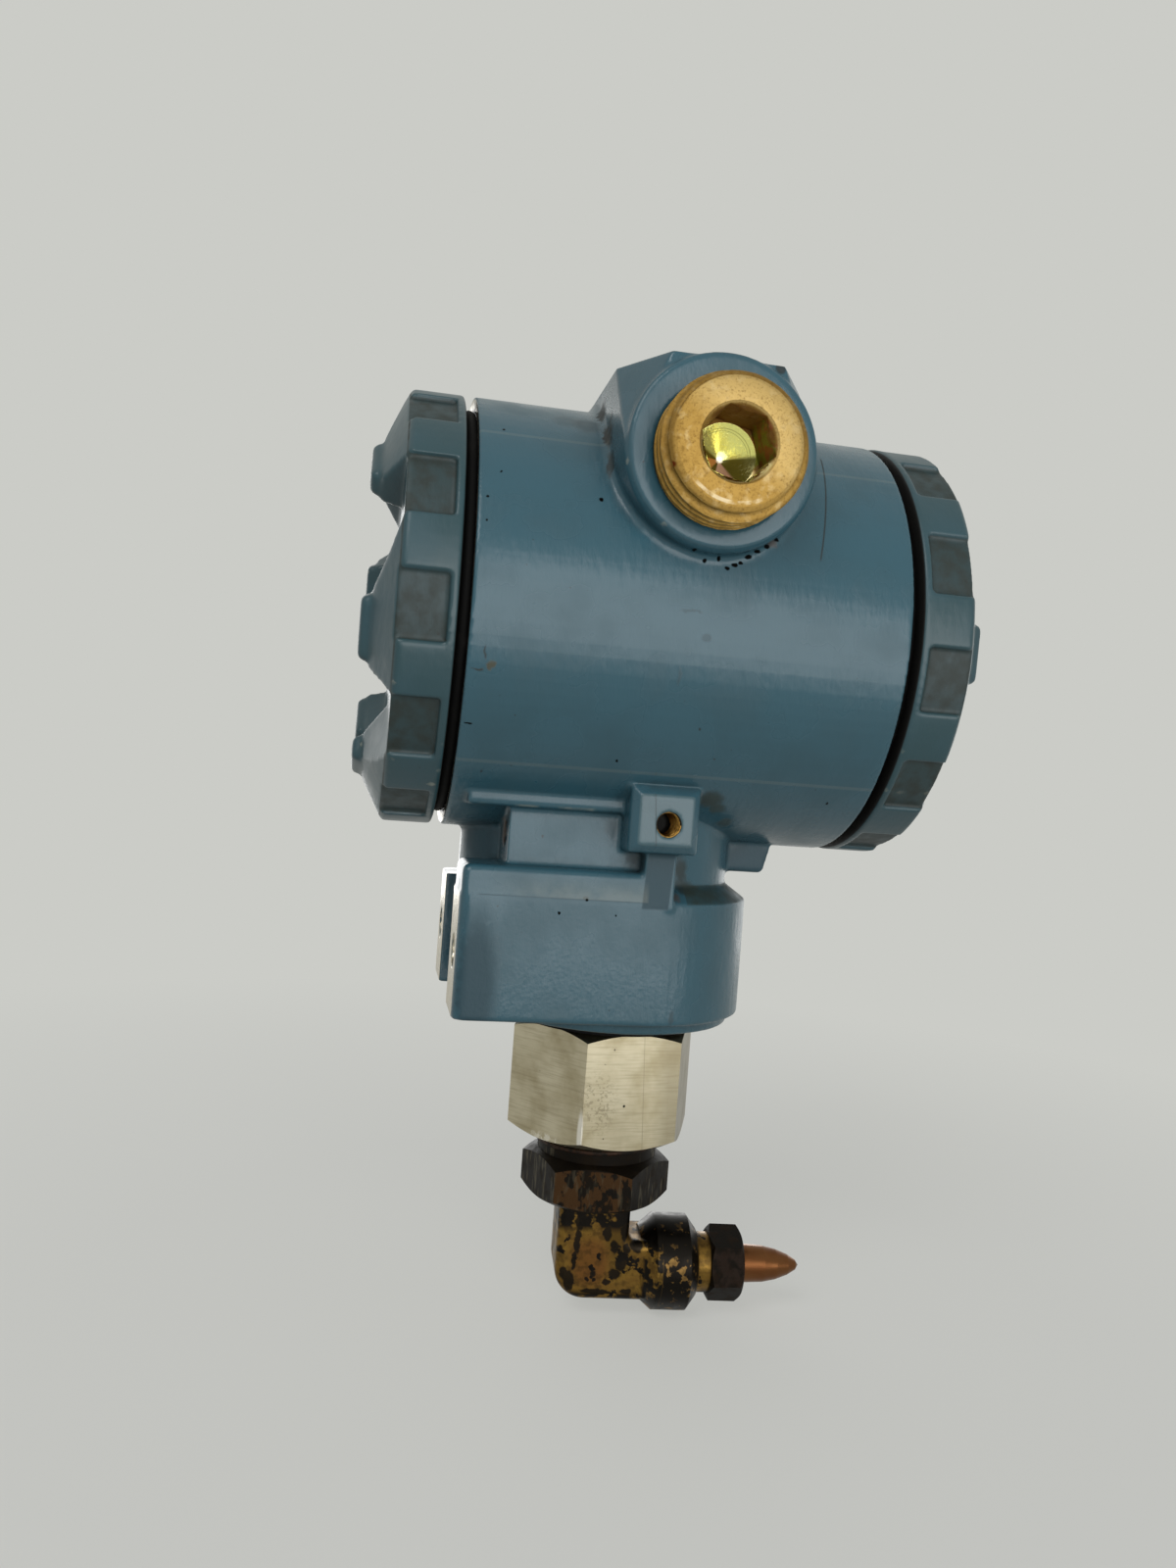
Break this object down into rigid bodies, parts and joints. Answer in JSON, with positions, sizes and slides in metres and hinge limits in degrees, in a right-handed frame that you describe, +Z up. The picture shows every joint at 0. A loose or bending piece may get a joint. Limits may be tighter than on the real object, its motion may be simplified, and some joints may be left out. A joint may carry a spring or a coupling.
{
  "type": "pressure transmitter",
  "caption": "Blue cast pressure transmitter with screw covers at both ends, plugged conduit entry, steel process hexagon and a brass elbow with a closed copper stub.",
  "frame": {"origin": "middle of the bracket holes on the faces of the bracket pads", "axes": "+Z up along the sensor axis, -Y towards the plugged conduit entry, -X out of the bracket pads"},
  "size_m": [0.0969, 0.0832, 0.1541],
  "materials": {
    "painted_casting": "semi-gloss enamel",
    "black_rubber": "matt",
    "yellow_zinc": "yellow passivated plating",
    "stainless": "turned and milled",
    "dark_brass": "tarnished",
    "mottled_brass": "mottled tarnish",
    "copper": "dull, drawn",
    "rusty_steel": "rusted",
    "circuit_laminate": "solder mask",
    "black_plastic": "moulded",
    "can_metal": "drawn",
    "white_plastic": "moulded",
    "plated_steel": "zinc plated",
    "ribbon_film": "film",
    "clamp_brass": "plated"
  },
  "bodies": {
    "case": {"housing": "painted_casting", "conduit_plug": "yellow_zinc", "sensor_body": "stainless", "sensor_gasket": "black_rubber", "diaphragm": "stainless", "sensor_header": "stainless", "sensor_ribbon": "ribbon_film", "lock_screw": "rusty_steel", "bushing": "dark_brass", "circuit_board": "circuit_laminate", "board_chips": "black_plastic", "board_capacitors": "can_metal", "board_connector": "white_plastic", "board_screws": "plated_steel", "feedthrough": "black_plastic", "terminal_block": "black_plastic", "clamp_washers": "clamp_brass", "terminal_screws": "plated_steel", "block_screws": "plated_steel", "inner_ground_screw": "plated_steel", "elbow": "mottled_brass", "tube_nut": "dark_brass", "ferrule": "mottled_brass", "copper_tube": "copper"},
    "circuit_seal": {"circuit_cover_seal": "black_rubber"},
    "circuit_cap": {"circuit_cover": "painted_casting"},
    "terminal_seal": {"terminal_cover_seal": "black_rubber"},
    "terminal_cap": {"terminal_cover": "painted_casting"}
  },
  "joints": [
    {"name": "circuit_travel", "type": "slide", "parent": "case", "child": "circuit_seal", "axis": [-1, 0, 0], "range_m": [0, 0.0075]},
    {"name": "circuit_turn", "type": "hinge", "parent": "circuit_seal", "child": "circuit_cap", "pos_m": [-0.0042, 0, 0.0542], "axis": [-1, 0, 0], "range_deg": [0, 1800]},
    {"name": "terminal_travel", "type": "slide", "parent": "case", "child": "terminal_seal", "axis": [1, 0, 0], "range_m": [0, 0.0075]},
    {"name": "terminal_turn", "type": "hinge", "parent": "terminal_seal", "child": "terminal_cap", "pos_m": [0.0655, 0, 0.0542], "axis": [1, 0, 0], "range_deg": [0, 1800]}
  ],
  "couplings": [
    {"joint": "circuit_travel", "follows": "circuit_turn", "m_per_rad": 0.00023873},
    {"joint": "terminal_travel", "follows": "terminal_turn", "m_per_rad": 0.00023873}
  ]
}
